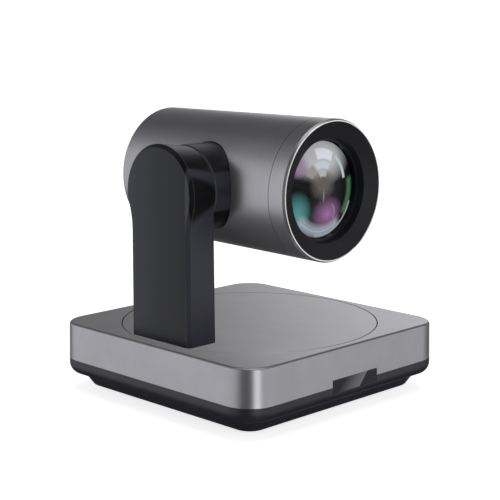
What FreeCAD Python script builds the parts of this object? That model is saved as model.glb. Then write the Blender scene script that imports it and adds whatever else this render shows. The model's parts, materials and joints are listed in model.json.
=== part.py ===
"""A small PTZ conference camera: square base, turntable, side arm and tilting zoom-lens barrel.

Millimetres, +Z up, the lens looks along -Y, the arm stands on the -X side, and the origin is the
centre of the base on the surface that the feet stand on.
"""
import FreeCAD, Part
import math
import os
from types import SimpleNamespace
import Sketcher
from FreeCAD import Placement, Rotation, Vector

# Driving dimensions, in millimetres unless the name says otherwise. Heights are above the table.
SIZES = {
    # base
    "base_width": 150.0,
    "base_corner": 16.0,
    "base_wall": 2.6,
    "base_top": 38.0,
    "base_edge_round": 1.5,
    "shell_lean": 1.15,
    "seam_height": 18.0,
    "seam_gap": 0.1,
    "tray_shoulder": 9.1,
    "tray_round": 6.0,
    "tray_neck_width": 138.6,
    "tray_neck_corner": 14.5,
    "tray_overlap": 1.0,
    "tray_lean": 36.7,
    "tray_foot_width": 124.0,
    "tray_foot_corner": 8.0,
    "tray_foot_round": 2.6,
    "tray_bottom": 2.0,
    "tray_floor": 2.0,
    "tray_step": 3.0,
    "tray_step_height": 2.3,
    # window on the front
    "window_width": 34.9,
    "window_height": 7.1,
    "window_offset": 2.1,
    "window_bottom": 14.7,
    "window_thick": 1.8,
    "window_corner": 0.8,
    "receiver_offset": 6.0,
    "receiver_radius": 2.2,
    "receiver_can": 6.0,
    "light_offset": 8.0,
    "light_pipe_radius": 1.3,
    "light_pipe_length": 4.0,
    "light_lamp": 3.0,
    "window_clearance": 0.8,
    # feet, tripod socket and screws
    "foot_spread": 46.0,
    "foot_radius": 6.5,
    "foot_seat": 0.8,
    "screw_spread": 56.0,
    "insert_radius": 4.8,
    "insert_length": 8.0,
    "tripod_bore": 2.6,
    "boss_radius": 8.0,
    "post_radius": 4.0,
    "screw_radius": 1.5,
    "screw_head_radius": 2.8,
    "screw_head": 2.0,
    "screw_sink": 0.2,
    "screw_play": 0.3,
    "screw_reach": 6.0,
    "slot_length": 3.2,
    "slot_width": 0.7,
    "slot_depth": 0.8,
    # pan stage
    "disc_radius": 69.85,
    "disc_gap": 0.45,
    "disc_thick": 2.8,
    "recess_floor": 32.0,
    "recess_wall": 2.0,
    "recess_opening": 32.0,
    "chassis_height": 16.0,
    "chassis_thick": 2.0,
    "chassis_width": 124.0,
    "hub_radius": 15.0,
    "hub_bore": 9.0,
    "hub_flange": 28.0,
    "running_gap": 0.05,
    "pan_bearing_radius": 21.0,
    "pan_bearing_length": 6.0,
    "pan_pulley_radius": 24.0,
    "pan_pinion_radius": 6.0,
    "pan_motor_x": 40.0,
    "pan_motor_y": -30.0,
    "motor_radius": 17.5,
    "motor_length": 11.5,
    "motor_shaft": 2.5,
    "belt_thick": 1.2,
    "belt_width": 4.0,
    "belt_gap": 0.1,
    "pulley_rim": 0.6,
    "pulley_play": 0.4,
    "pan_drive_rise": 7.0,
    "pan_shaft_length": 9.5,
    "motor_boss_radius": 5.8,
    "seat_wall": 2.5,
    "hub_overhang": 1.5,
    "hub_flange_lift": 0.8,
    "gate_width": 6.0,
    "gate_height": 9.6,
    "gate_gap": 2.4,
    "gate_gap_rise": 5.6,
    "gate_reach": 7.0,
    # circuit board and connectors
    "board_width": 112.0,
    "board_depth": 46.0,
    "board_middle": 35.0,
    "board_height": 8.0,
    "board_thick": 1.6,
    "board_notch_width": 16.0,
    "board_notch_depth": 24.0,
    "sink_width": 20.0,
    "sink_base": 1.4,
    "sink_fin": 1.0,
    "sink_fin_height": 3.2,
    "sink_pitch": 3.0,
    "panel_width": 100.0,
    "panel_height": 11.0,
    "panel_bottom": 18.6,
    "panel_thick": 1.4,
    "panel_sunk": 0.9,
    "jack_x": -38.0,
    "video_x": -17.0,
    "usb_x": 4.0,
    "control_first_x": 24.0,
    "control_second_x": 39.0,
    "jack_radius": 4.0,
    "jack_bore": 3.0,
    "jack_pin": 1.0,
    "jack_body": 10.0,
    "video_width": 15.2,
    "video_height": 5.8,
    "video_depth": 11.0,
    "usb_width": 9.2,
    "usb_height": 3.5,
    "usb_depth": 8.0,
    "can_wall": 0.4,
    "port_gap": 0.2,
    "control_radius": 4.8,
    "control_wall": 0.5,
    "control_depth": 8.0,
    # arm
    "arm_outer": 65.8,
    "arm_inner": 46.4,
    "arm_cover": 2.1,
    "arm_bevel": 1.65,
    "arm_inner_bevel": 1.2,
    "arm_foot_half": 22.4,
    "arm_waist_half": 22.0,
    "arm_waist_half_inner": 21.7,
    "arm_head_radius": 25.3,
    "arm_head_radius_inner": 23.2,
    "arm_head_drop": 0.85,
    "arm_blend": 42.0,
    "arm_wall": 2.0,
    "arm_line": 0.35,
    "arm_plate_width": 34.0,
    "arm_plate_height": 82.0,
    "arm_plate_corner": 8.0,
    "arm_plate_thick": 1.5,
    "tilt_motor_height": 64.0,
    "tilt_motor_length": 6.2,
    "arm_plate_offset": 8.6,
    "arm_plate_rise": 14.0,
    "arm_drive_offset": 6.6,
    "arm_screw_spread": 12.0,
    "arm_screw_head": 3.0,
    "arm_screw_radius": 1.5,
    "arm_screw_core": 1.2,
    "cable_offset": 5.1,
    "cable_side": 17.4,
    "cable_width": 4.0,
    "cable_thick": 0.6,
    "cable_slot_length": 5.0,
    "cable_slot_width": 2.4,
    # tilt axis and barrel
    "tilt_height": 115.85,
    "barrel_radius": 36.2,
    "barrel_taper": 0.0129,
    "barrel_front": 59.45,
    "barrel_seam": 49.7,
    "barrel_seam_gap": 0.3,
    "barrel_rear": 64.5,
    "barrel_rear_round": 1.0,
    "barrel_wall": 2.6,
    "lip_front": 60.75,
    "lip_radius": 36.3,
    "bezel_radius": 35.5,
    "bezel_throat": 27.6,
    "bezel_depth": 3.5,
    "glass_radius": 25.5,
    "glass_rim": 52.2,
    "glass_rise": 4.4,
    "glass_thick": 2.6,
    "neck_radius": 22.7,
    "neck_start": 46.0,
    "neck_end": 28.0,
    "neck_wall": 3.7,
    "neck_gap": 0.35,
    "shaft_radius": 7.0,
    "shaft_bore": 4.5,
    "tilt_pulley_radius": 15.0,
    "tilt_pinion_radius": 5.0,
    "tilt_motor_radius": 14.0,
    "tilt_bearing_wall": 5.0,
    "small_shaft": 1.5,
    "cap_play": 1.3,
    "cap_thick": 2.0,
    "cap_sunk": 0.4,
    "cap_screw_spread": 20.0,
    "cap_screw_radius": 1.0,
    "cap_screw_head": 1.9,
    "cap_screw_socket": 0.8,
    "shaft_length": 31.0,
    "shaft_reach": 15.0,
    "sensor_board": 34.0,
    "sensor_width": 16.0,
    "sensor_height": 13.0,
    "sensor_thick": 2.0,
    "frame_half": 12.0,
    # zoom lens block
    "housing_radius": 27.4,
    "housing_wall": 1.8,
    "housing_rear": 36.0,
    "second_radius": 16.0,
    "second_rim": 37.0,
    "second_rise": 3.4,
    "second_thick": 2.4,
    "moving_lens_radius": 12.0,
    "moving_lens_rise": 1.6,
    "moving_lens_thick": 3.0,
    "rod_radius": 1.0,
    "rod_offset": 22.0,
    "carriage_radius": 20.0,
    "carriage_length": 9.0,
    "zoom_start": -22.0,
    "focus_start": 12.0,
    "drive_offset": 22.6,
    "drive_screw_radius": 0.9,
}

ALONG = {"X": Rotation(Vector(0, 1, 0), 90), "Y": Rotation(Vector(1, 0, 0), -90), "Z": Rotation()}
FOUR_CORNERS = [(-1, -1), (1, -1), (1, 1), (-1, 1)]
FULL_TURN = 360

doc = FreeCAD.newDocument("ptz_camera")
subparts = []


class Size(float):
    """A number that also carries the sheet formula that it is worked out from."""

    def __new__(cls, number, formula):
        size = super().__new__(cls, number)
        size.formula = formula
        return size

    def __add__(self, other):
        return Size(float(self) + float(other), f"({self.formula} + {formula_of(other)})")

    def __radd__(self, other):
        return Size(float(other) + float(self), f"({formula_of(other)} + {self.formula})")

    def __sub__(self, other):
        return Size(float(self) - float(other), f"({self.formula} - {formula_of(other)})")

    def __rsub__(self, other):
        return Size(float(other) - float(self), f"({formula_of(other)} - {self.formula})")

    def __mul__(self, other):
        return Size(float(self) * float(other), f"({self.formula} * {formula_of(other)})")

    __rmul__ = __mul__

    def __truediv__(self, other):
        return Size(float(self) / float(other), f"({self.formula} / {formula_of(other)})")

    def __neg__(self):
        return Size(-float(self), f"(0 - {self.formula})")


def formula_of(size):
    return size.formula if isinstance(size, Size) else f"{float(size):.6f}"


def make_sheet():
    """Fill the sheet, one alias a row, and return the aliases as sizes."""
    sheet = doc.addObject("Spreadsheet::Sheet", "sizes")
    for row, (alias, number) in enumerate(SIZES.items(), start=1):
        sheet.set(f"A{row}", alias)
        sheet.set(f"B{row}", str(number))
        sheet.setAlias(f"B{row}", alias)
    doc.recompute()
    return SimpleNamespace(**{alias: Size(number, f"sizes.{alias}") for alias, number in SIZES.items()})


S = make_sheet()


# ---------------------------------------------------------------------------- general helpers
def bind(item, prop, size):
    item.setExpression(prop, formula_of(size))


def place(item, at, turn=Rotation()):
    """Give an object its rotation and tie its position to the sheet."""
    item.Placement = Placement(Vector(*[float(value) for value in at]), turn)
    for axis, size in zip("xyz", at):
        bind(item, f"Placement.Base.{axis}", size)
    return item


def keep(item, label):
    """Make an object a sub-part: its label names the file that it is written to."""
    item.Label = label
    subparts.append(item)
    return item


def block(name, size, at):
    """A box centred on at in X and Y, standing on at's height."""
    box = doc.addObject("Part::Box", name)
    for prop, length in zip(("Length", "Width", "Height"), size):
        bind(box, prop, length)
    return place(box, (at[0] - size[0] / 2, at[1] - size[1] / 2, at[2]))


def rod(name, radius, length, at, along="Z"):
    """A cylinder that starts at the point at and runs along an axis."""
    cylinder = doc.addObject("Part::Cylinder", name)
    bind(cylinder, "Radius", radius)
    bind(cylinder, "Height", length)
    return place(cylinder, at, ALONG[along])


def frustum(name, start_radius, end_radius, length, at, along="Z"):
    cone = doc.addObject("Part::Cone", name)
    bind(cone, "Radius1", start_radius)
    bind(cone, "Radius2", end_radius)
    bind(cone, "Height", length)
    return place(cone, at, ALONG[along])


def fuse(name, *shapes):
    union = doc.addObject("Part::MultiFuse", name)
    union.Shapes = list(shapes)
    return union


def group(name, shapes):
    """Separate solids that share one node."""
    together = doc.addObject("Part::Compound", name)
    together.Links = list(shapes)
    return together


def cut(name, base, *tools):
    tool = tools[0] if len(tools) == 1 else fuse(name + "_tools", *tools)
    difference = doc.addObject("Part::Cut", name)
    difference.Base = base
    difference.Tool = tool
    return difference


def ring(name, outer, inner, length, at, along="Z"):
    back = [value - 1 if axis == along else value for axis, value in zip("XYZ", at)]
    blank = rod(name + "_outer", outer, length, at, along)
    return cut(name, blank, rod(name + "_bore", inner, length + 2, back, along))


# ---------------------------------------------------------------------------- bodies and sketches
def new_body(name):
    return doc.addObject("PartDesign::Body", name)


def sketch_on(body, role, offset=0.0):
    """A sketch on one of the body's own origin planes, moved along the plane's normal."""
    sketch = body.newObject("Sketcher::SketchObject", body.Name + "_sketch")
    plane = next(feature for feature in body.Origin.OriginFeatures if feature.Role == role)
    sketch.AttachmentSupport = [(plane, "")]
    sketch.MapMode = "FlatFace"
    bind(sketch, "AttachmentOffset.Base.z", offset)
    return sketch


def dimension(sketch, kind, references, size):
    """Add a dimension and tie it to the sheet."""
    index = sketch.addConstraint(Sketcher.Constraint(kind, *references, float(size)))
    bind(sketch, f"Constraints[{index}]", size)


def fix_point(sketch, line, end, point):
    dimension(sketch, "DistanceX", (-1, 1, line, end), point[0])
    dimension(sketch, "DistanceY", (-1, 1, line, end), point[1])


def polygon(sketch, points):
    """A closed outline of straight lines through points, each one dimensioned from the origin."""
    corners = [Vector(float(x), float(y), 0) for x, y in points]
    first = sketch.GeometryCount
    count = len(corners)
    for index, corner in enumerate(corners):
        sketch.addGeometry(Part.LineSegment(corner, corners[(index + 1) % count]), False)
    for index, point in enumerate(points):
        following = first + (index + 1) % count
        sketch.addConstraint(Sketcher.Constraint("Coincident", first + index, 2, following, 1))
        fix_point(sketch, first + index, 1, point)


def arc_between(centre, radius, start, end):
    """An arc from start to end, counter-clockwise about centre."""
    circle = Part.Circle(centre, Vector(0, 0, 1), float(radius))
    first = math.atan2(start.y - centre.y, start.x - centre.x)
    last = math.atan2(end.y - centre.y, end.x - centre.x)
    return Part.ArcOfCircle(circle, first, last if last > first else last + 2 * math.pi)


def rounded_rectangle(sketch, width, height, radius, middle=(0.0, 0.0)):
    """A rectangle with round corners: four lines and four arcs, tangent all round."""
    half_x, half_y = float(width) / 2, float(height) / 2
    bend, mid_x, mid_y = float(radius), float(middle[0]), float(middle[1])
    for sign_x, sign_y in FOUR_CORNERS:
        centre = Vector(mid_x + sign_x * (half_x - bend), mid_y + sign_y * (half_y - bend), 0)
        side = Vector(mid_x + sign_x * half_x, centre.y, 0)
        level = Vector(centre.x, mid_y + sign_y * half_y, 0)
        start, end = (side, level) if sign_x * sign_y > 0 else (level, side)
        sketch.addGeometry(arc_between(centre, bend, start, end), False)
    for index in range(4):
        arc, following = sketch.Geometry[index], sketch.Geometry[(index + 1) % 4]
        sketch.addGeometry(Part.LineSegment(arc.EndPoint, following.StartPoint), False)
    for index in range(4):
        line = 4 + index
        sketch.addConstraint(Sketcher.Constraint("Tangent", index, 2, line, 1))
        sketch.addConstraint(Sketcher.Constraint("Tangent", line, 2, (index + 1) % 4, 1))
        sketch.addConstraint(Sketcher.Constraint("Horizontal" if index % 2 == 0 else "Vertical", line))
    for index in range(1, 4):
        sketch.addConstraint(Sketcher.Constraint("Equal", 0, index))
    dimension(sketch, "Radius", (0,), radius)
    dimension(sketch, "DistanceY", (-1, 1, 4, 1), middle[1] - height / 2)
    dimension(sketch, "DistanceX", (-1, 1, 5, 1), middle[0] + width / 2)
    dimension(sketch, "DistanceY", (-1, 1, 6, 1), middle[1] + height / 2)
    dimension(sketch, "DistanceX", (-1, 1, 7, 1), middle[0] - width / 2)


def belt_outline(sketch, big, small, distance):
    """A closed belt's line: a big arc about the origin, a small one on the X axis, two tangents."""
    lean = math.acos((float(big) - float(small)) / float(distance))
    along = Vector(math.cos(lean), math.sin(lean), 0)
    mirrored = Vector(along.x, -along.y, 0)
    far = Vector(float(distance), 0, 0)
    first = sketch.GeometryCount
    sketch.addGeometry(arc_between(Vector(), big, along * float(big), mirrored * float(big)), False)
    sketch.addGeometry(Part.LineSegment(mirrored * float(big), far + mirrored * float(small)), False)
    sketch.addGeometry(arc_between(far, small, far + mirrored * float(small), far + along * float(small)), False)
    sketch.addGeometry(Part.LineSegment(far + along * float(small), along * float(big)), False)
    for index in range(4):
        joined = (first + index, 2, first + (index + 1) % 4, 1)
        sketch.addConstraint(Sketcher.Constraint("Tangent", *joined))
    for arc, radius, middle in ((first, big, 0.0), (first + 2, small, distance)):
        dimension(sketch, "Radius", (arc,), radius)
        fix_point(sketch, arc, 3, (middle, 0.0))


def keyhole(sketch, foot_half, waist_half, head_radius, blend, foot, head):
    """The arm's outline: a post that leans in a little, a round head, and a hollow blend between."""
    half, waist, radius, bend = float(foot_half), float(waist_half), float(head_radius), float(blend)
    top = Vector(0, float(head), 0)
    drop = math.sqrt((radius + bend) ** 2 - (waist + bend) ** 2)
    hollow = Vector(waist + bend, float(head) - drop, 0)
    touch = top + (hollow - top) * (radius / (radius + bend))
    waist_point = Vector(waist, hollow.y, 0)
    corner = Vector(half, float(foot), 0)
    flip = [Vector(-point.x, point.y, 0) for point in (hollow, touch, waist_point, corner)]
    sketch.addGeometry(Part.LineSegment(flip[3], corner), False)
    sketch.addGeometry(Part.LineSegment(corner, waist_point), False)
    sketch.addGeometry(arc_between(hollow, bend, touch, waist_point), False)
    sketch.addGeometry(arc_between(top, radius, touch, flip[1]), False)
    sketch.addGeometry(arc_between(flip[0], bend, flip[2], flip[1]), False)
    sketch.addGeometry(Part.LineSegment(flip[2], flip[3]), False)
    sketch.addConstraint(Sketcher.Constraint("Coincident", 0, 2, 1, 1))
    sketch.addConstraint(Sketcher.Constraint("Coincident", 5, 2, 0, 1))
    for one, other in (((1, 2), (2, 2)), ((2, 1), (3, 1)), ((3, 2), (4, 2)), ((4, 1), (5, 1))):
        sketch.addConstraint(Sketcher.Constraint("Tangent", *one, *other))
    fix_point(sketch, 1, 1, (foot_half, foot))
    fix_point(sketch, 0, 1, (-foot_half, foot))
    fix_point(sketch, 3, 3, (0.0, head))
    dimension(sketch, "Radius", (3,), head_radius)
    dimension(sketch, "Radius", (2,), blend)
    dimension(sketch, "Radius", (4,), blend)
    dimension(sketch, "DistanceX", (-1, 1, 1, 2), waist_half)
    dimension(sketch, "DistanceX", (-1, 1, 5, 1), -waist_half)


def pad(body, sketch, length, lean=None, down=False):
    """Thicken a sketch. With lean, its sides lean in by that angle in degrees."""
    feature = body.newObject("PartDesign::Pad", body.Name + "_pad")
    feature.Profile = sketch
    bind(feature, "Length", length)
    feature.Reversed = down
    if lean is not None:
        bind(feature, "TaperAngle", -lean)
    sketch.Visibility = False
    doc.recompute()
    return feature


def loft(body, first, second):
    feature = body.newObject("PartDesign::AdditiveLoft", body.Name + "_loft")
    feature.Profile = first
    feature.Sections = [second]
    feature.Ruled = True
    doc.recompute()
    return feature


def dress(body, kind, size, wanted):
    """Round or bevel the edges of the body's last feature that the test wanted picks."""
    base = body.Tip
    names = [f"Edge{index}" for index, edge in enumerate(base.Shape.Edges, start=1) if wanted(edge)]
    feature = body.newObject("PartDesign::" + kind, f"{body.Name}_{kind.lower()}")
    feature.Base = (base, names)
    bind(feature, "Radius" if kind == "Fillet" else "Size", size)
    doc.recompute()
    return feature


def lies_at(axis, level):
    """A test for edges that lie wholly in the plane where the axis has this value."""
    def test(edge):
        box = edge.BoundBox
        low, high = getattr(box, axis + "Min"), getattr(box, axis + "Max")
        return abs(low - float(level)) < 0.01 and abs(high - float(level)) < 0.01
    return test


def turned(name, profile, at=(0.0, 0.0, 0.0), along="Z"):
    """A body of revolution. Profile holds (radius, distance along the axis) points."""
    body = new_body(name)
    sketch = sketch_on(body, "XZ_Plane")
    polygon(sketch, profile)
    feature = body.newObject("PartDesign::Revolution", name + "_turned")
    feature.Profile = sketch
    feature.ReferenceAxis = (sketch, ["V_Axis"])
    feature.Angle = FULL_TURN
    doc.recompute()
    place(body, at, ALONG[along])
    return body


def plate(name, width, height, radius, thick, at, role="XY_Plane"):
    """A flat plate with round corners, drawn about the body's own origin."""
    body = new_body(name)
    sketch = sketch_on(body, role)
    rounded_rectangle(sketch, width, height, radius)
    pad(body, sketch, thick)
    return place(body, at)


# ---------------------------------------------------------------------------- base
def rounded_slab(name, width, corner, height, lean=None):
    """A square slab between two heights, with upright or leaning sides."""
    body = new_body(name)
    low = sketch_on(body, "XY_Plane", height[0])
    rounded_rectangle(low, width, width, corner)
    pad(body, low, height[1] - height[0], lean)
    return body


def window_slot(name):
    """The notch for the front window, cut through the front walls of tray and shell."""
    size = (S.window_width, S.base_wall * 2, S.window_height)
    return block(name, size, (S.window_offset, -S.base_width / 2, S.window_bottom))


def corner_rods(name, spread, radius, length, height):
    return [rod(f"{name}_{index}", radius, length, (x * spread, y * spread, height))
            for index, (x, y) in enumerate(FOUR_CORNERS)]


def make_base_tray():
    """The dark lower housing: a rounded shoulder over a narrower, leaning foot."""
    rim = S.seam_height - S.seam_gap
    shoulder = rounded_slab("tray_shoulder_slab", S.base_width, S.base_corner, (S.tray_shoulder, rim))
    dress(shoulder, "Fillet", S.tray_round, lies_at("Z", S.tray_shoulder))
    foot = new_body("tray_foot_slab")
    neck = sketch_on(foot, "XY_Plane", S.tray_shoulder + S.tray_overlap)
    rounded_rectangle(neck, S.tray_neck_width, S.tray_neck_width, S.tray_neck_corner)
    pad(foot, neck, S.tray_shoulder + S.tray_overlap - S.tray_bottom, S.tray_lean, down=True)
    dress(foot, "Fillet", S.tray_foot_round, lies_at("Z", S.tray_bottom))
    floor = S.tray_bottom + S.tray_floor
    inside = S.base_width - 2 * S.base_wall
    corner = S.base_corner - S.base_wall
    shoulder_inside = rounded_slab("tray_rim_cavity", inside, corner, (S.tray_shoulder + S.tray_round, rim + 1))
    middle_inside = rounded_slab("tray_middle_cavity", inside - 2 * S.tray_step, corner - S.tray_step / 2,
                                 (S.tray_shoulder + S.tray_step_height, rim))
    foot_width = S.tray_foot_width - 2 * S.tray_floor
    foot_inside = rounded_slab("tray_foot_cavity", foot_width, S.tray_foot_corner, (floor, rim))
    posts = corner_rods("tray_post", S.screw_spread, S.post_radius, S.chassis_height - floor + 1, floor - 1)
    boss = rod("tripod_boss", S.boss_radius, S.insert_length + 1, (0.0, 0.0, S.tray_bottom + 1))
    hollow = cut("tray_hollow", fuse("tray_outside", shoulder, foot), shoulder_inside, middle_inside, foot_inside)
    body = fuse("tray_with_posts", hollow, *posts, boss)
    sunk = S.screw_head + 1
    tools = corner_rods("tray_counterbore", S.screw_spread, S.screw_head_radius + S.screw_play, sunk,
                         S.tray_bottom - 1 + S.screw_sink)
    tools += corner_rods("tray_hole", S.screw_spread, S.screw_radius, S.chassis_height + 1, S.tray_bottom)
    tools += corner_rods("foot_recess", S.foot_spread, S.foot_radius, S.foot_seat, S.tray_bottom)
    tools.append(rod("insert_recess", S.insert_radius, S.insert_length, (0.0, 0.0, S.tray_bottom)))
    tools.append(window_slot("tray_window_slot"))
    keep(cut("tray_finished", body, *tools), "base_tray")


def make_base_shell():
    """The metal upper housing, with a round recess for the turntable in its top."""
    shell = rounded_slab("shell_slab", S.base_width, S.base_corner, (S.seam_height, S.base_top), S.shell_lean)
    dress(shell, "Fillet", S.base_edge_round, lies_at("Z", S.base_top))
    ceiling = S.recess_floor - S.recess_wall
    inside = S.base_width - 2 * S.base_wall
    cavity = rounded_slab("shell_cavity", inside, S.base_corner - S.base_wall, (S.seam_height - 1, ceiling))
    recess = rod("shell_recess", S.disc_radius + S.disc_gap, S.base_top, (0.0, 0.0, S.recess_floor))
    opening = rod("shell_opening", S.recess_opening, S.base_top, (0.0, 0.0, S.seam_height))
    rear = block("shell_rear_opening", (S.panel_width, S.base_wall * 3, S.panel_height),
                 (0.0, S.base_width / 2, S.panel_bottom))
    hollow = cut("shell_hollow", shell, cavity, recess, opening, rear, window_slot("shell_window_slot"))
    plate_top = S.chassis_height + S.chassis_thick
    bosses = corner_rods("shell_boss", S.screw_spread, S.post_radius, ceiling - plate_top + 1, plate_top)
    bores = corner_rods("shell_screw_bore", S.screw_spread, S.screw_radius, S.insert_length, plate_top)
    keep(cut("shell_finished", fuse("shell_with_bosses", hollow, *bosses), *bores), "base_shell")


def make_front_window():
    """The infrared window with the receiver and the status light behind it."""
    front = -S.base_width / 2
    window = plate("window_plate", S.window_width, S.window_height, S.window_corner, S.window_thick,
                   (S.window_offset, front + S.window_thick, S.window_bottom + S.window_height / 2), "XZ_Plane")
    keep(window, "ir_window")
    behind = front + S.window_thick + S.window_clearance
    middle = S.window_bottom + S.window_height / 2
    receiver_x = S.window_offset - S.receiver_offset
    half = S.receiver_can / 2
    dome = rod("receiver_dome", S.receiver_radius, half, (receiver_x, behind, middle), "Y")
    can = block("receiver_can", (S.receiver_can, half, S.receiver_can),
                (receiver_x, behind + half * 1.3, middle - half))
    keep(fuse("receiver", dome, can), "ir_receiver")
    light_x = S.window_offset + S.light_offset
    pipe = rod("light_pipe", S.light_pipe_radius, S.light_pipe_length, (light_x, behind, middle), "Y")
    lamp = block("light_lamp", (S.light_lamp, S.light_lamp, S.light_lamp),
                 (light_x, behind + S.light_pipe_length + S.light_lamp / 2, middle - S.light_lamp / 2))
    keep(fuse("light", pipe, lamp), "status_light")


def make_feet_and_insert():
    feet = corner_rods("foot_pad", S.foot_spread, S.foot_radius, S.tray_bottom + S.foot_seat, 0.0)
    keep(group("feet", feet), "rubber_feet")
    insert = rod("insert_blank", S.insert_radius, S.insert_length, (0.0, 0.0, S.tray_bottom))
    thread = rod("insert_thread", S.tripod_bore, S.insert_length, (0.0, 0.0, S.tray_bottom - 0.5))
    keep(cut("insert", insert, thread), "tripod_insert")


def make_base_screws():
    """Four long screws that clamp tray, chassis and shell."""
    screws = []
    start = S.tray_bottom + S.screw_sink
    for index, (x, y) in enumerate(FOUR_CORNERS):
        where = (x * S.screw_spread, y * S.screw_spread, start)
        head = rod(f"base_screw_head_{index}", S.screw_head_radius, S.screw_head, where)
        shank = rod(f"base_screw_shank_{index}", S.screw_radius - 0.02, S.chassis_height + S.screw_reach, where)
        slot = block(f"base_screw_slot_{index}", (S.slot_length, S.slot_width, S.slot_depth), where)
        screws.append(cut(f"base_screw_{index}", fuse(f"base_screw_blank_{index}", head, shank), slot))
    keep(group("base_screw_set", screws), "base_screws")


def make_chassis():
    """The steel plate that carries the pan bearing and the pan motor."""
    body = new_body("chassis_plate")
    outline = sketch_on(body, "XY_Plane", S.chassis_height)
    rounded_rectangle(outline, S.chassis_width, S.chassis_width, S.post_radius + 2)
    pad(body, outline, S.chassis_thick)
    seat = rod("bearing_seat", S.pan_bearing_radius + S.seat_wall, S.pan_bearing_length - 1,
               (0.0, 0.0, S.chassis_height))
    tools = corner_rods("chassis_hole", S.screw_spread, S.screw_radius + S.screw_play, S.base_top, 0.0)
    tools.append(rod("bearing_hole", S.pan_bearing_radius, S.base_top, (0.0, 0.0, 0.0)))
    tools.append(rod("motor_boss_hole", S.motor_boss_radius + 0.2, S.base_top, (S.pan_motor_x, S.pan_motor_y, 0.0)))
    keep(cut("chassis", fuse("chassis_blank", body, seat), *tools), "base_chassis")


# ---------------------------------------------------------------------------- board and connectors
def make_main_board():
    board = block("board_blank", (S.board_width, S.board_depth, S.board_thick),
                  (0.0, S.board_middle, S.board_height))
    notches = [block(f"board_notch_{index}", (S.board_notch_width, S.board_notch_depth, 3 * S.board_thick),
                     (side * S.board_width / 2, S.board_middle + 25, S.board_height - S.board_thick))
               for index, side in enumerate((-1, 1))]
    keep(cut("board", board, *notches), "main_board")
    top = S.board_height + S.board_thick
    chips = [block(f"chip_{index}", size, (x, y, top)) for index, (size, x, y) in enumerate([
        ((14.0, 14.0, 1.6), -34.0, 22.0),
        ((9.0, 13.0, 1.2), -14.0, 20.0),
        ((9.0, 13.0, 1.2), -14.0, 36.0),
        ((12.0, 12.0, 4.5), 36.0, 22.0),
        ((7.0, 7.0, 1.0), 18.0, 36.0),
        ((5.0, 24.0, 3.0), 52.0, 34.0),
    ])]
    keep(group("chips", chips), "board_chips")
    at_x, at_y = 14.0, 21.0
    base = block("sink_base", (S.sink_width, S.sink_width, S.sink_base), (at_x, at_y, top))
    fins = [block(f"sink_fin_{step}", (S.sink_fin, S.sink_width, S.sink_fin_height),
                  (at_x + step * S.sink_pitch, at_y, top + S.sink_base - 0.2)) for step in range(-3, 4)]
    keep(fuse("sink", base, *fins), "heat_sink")


def make_rear_panel():
    """The connector panel in the back wall, and the connectors behind it."""
    rear = S.base_width / 2
    face = rear - S.panel_sunk
    middle = S.panel_bottom + S.panel_height / 2
    through = S.video_depth + 1
    controls = (S.control_first_x, S.control_second_x)
    panel = block("panel_blank", (S.panel_width, S.panel_thick, S.panel_height),
                  (0.0, face - S.panel_thick / 2, S.panel_bottom))
    play = S.port_gap
    holes = [
        rod("power_hole", S.jack_radius + play, through, (S.jack_x, rear - through / 2, middle), "Y"),
        block("video_hole", (S.video_width + 2 * play, through, S.video_height + 2 * play),
              (S.video_x, rear, middle - S.video_height / 2 - play)),
        block("usb_hole", (S.usb_width + 2 * play, through, S.usb_height + 2 * play),
              (S.usb_x, rear, middle - S.usb_height / 2 - play)),
    ]
    holes += [rod(f"control_hole_{index}", S.control_radius + play, through, (x, rear - through / 2, middle), "Y")
              for index, x in enumerate(controls)]
    keep(cut("panel", panel, *holes), "rear_panel")
    make_power_jack(face, middle)
    make_video_port(face, middle)
    make_usb_port(face, middle)
    make_control_ports(controls, face, middle)


def make_power_jack(face, middle):
    body = S.jack_body
    sleeve = rod("jack_sleeve", S.jack_radius, body / 2, (S.jack_x, face - body / 2, middle), "Y")
    back = block("jack_block", (body, body, body), (S.jack_x, face - body / 2 - S.jack_radius + 1, middle - body / 2))
    bore = rod("jack_bore", S.jack_bore, body, (S.jack_x, face - body + 1, middle), "Y")
    pin = rod("jack_pin", S.jack_pin, body - 2, (S.jack_x, face - body, middle), "Y")
    keep(fuse("jack", cut("jack_shell", fuse("jack_blank", sleeve, back), bore), pin), "power_jack")


def make_video_port(face, middle):
    """The display port: a steel can with a tongue in it."""
    inner_width = S.video_width - 2 * S.can_wall
    inner_height = S.video_height - 2 * S.can_wall
    can_y = face - S.video_depth / 2
    shell = block("video_shell", (S.video_width, S.video_depth, S.video_height),
                  (S.video_x, can_y, middle - S.video_height / 2))
    mouth = block("video_mouth", (inner_width, S.video_depth, inner_height),
                  (S.video_x, can_y + 2, middle - inner_height / 2))
    tongue = block("video_tongue", (inner_width - 3, S.video_depth - 2, inner_height / 3),
                   (S.video_x, can_y - 0.5, middle - inner_height / 6))
    keep(fuse("video", cut("video_can", shell, mouth), tongue), "video_port")


def make_usb_port(face, middle):
    """The data port: a round-ended can with a blade in it."""
    corner = S.usb_height / 2 - 0.05
    inner_height = S.usb_height - 2 * S.can_wall
    can = plate("usb_can", S.usb_width, S.usb_height, corner, S.usb_depth, (S.usb_x, face, middle), "XZ_Plane")
    slot = plate("usb_mouth", S.usb_width - 2 * S.can_wall, inner_height, corner - S.can_wall, S.usb_depth - 1,
                 (S.usb_x, face + 0.5, middle), "XZ_Plane")
    blade = block("usb_blade", (S.usb_width * 0.7, S.usb_depth - 2, inner_height * 0.3),
                  (S.usb_x, face - S.usb_depth / 2 - 0.5, middle - inner_height * 0.15))
    keep(fuse("usb", cut("usb_shell", can, slot), blade), "usb_port")


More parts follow.
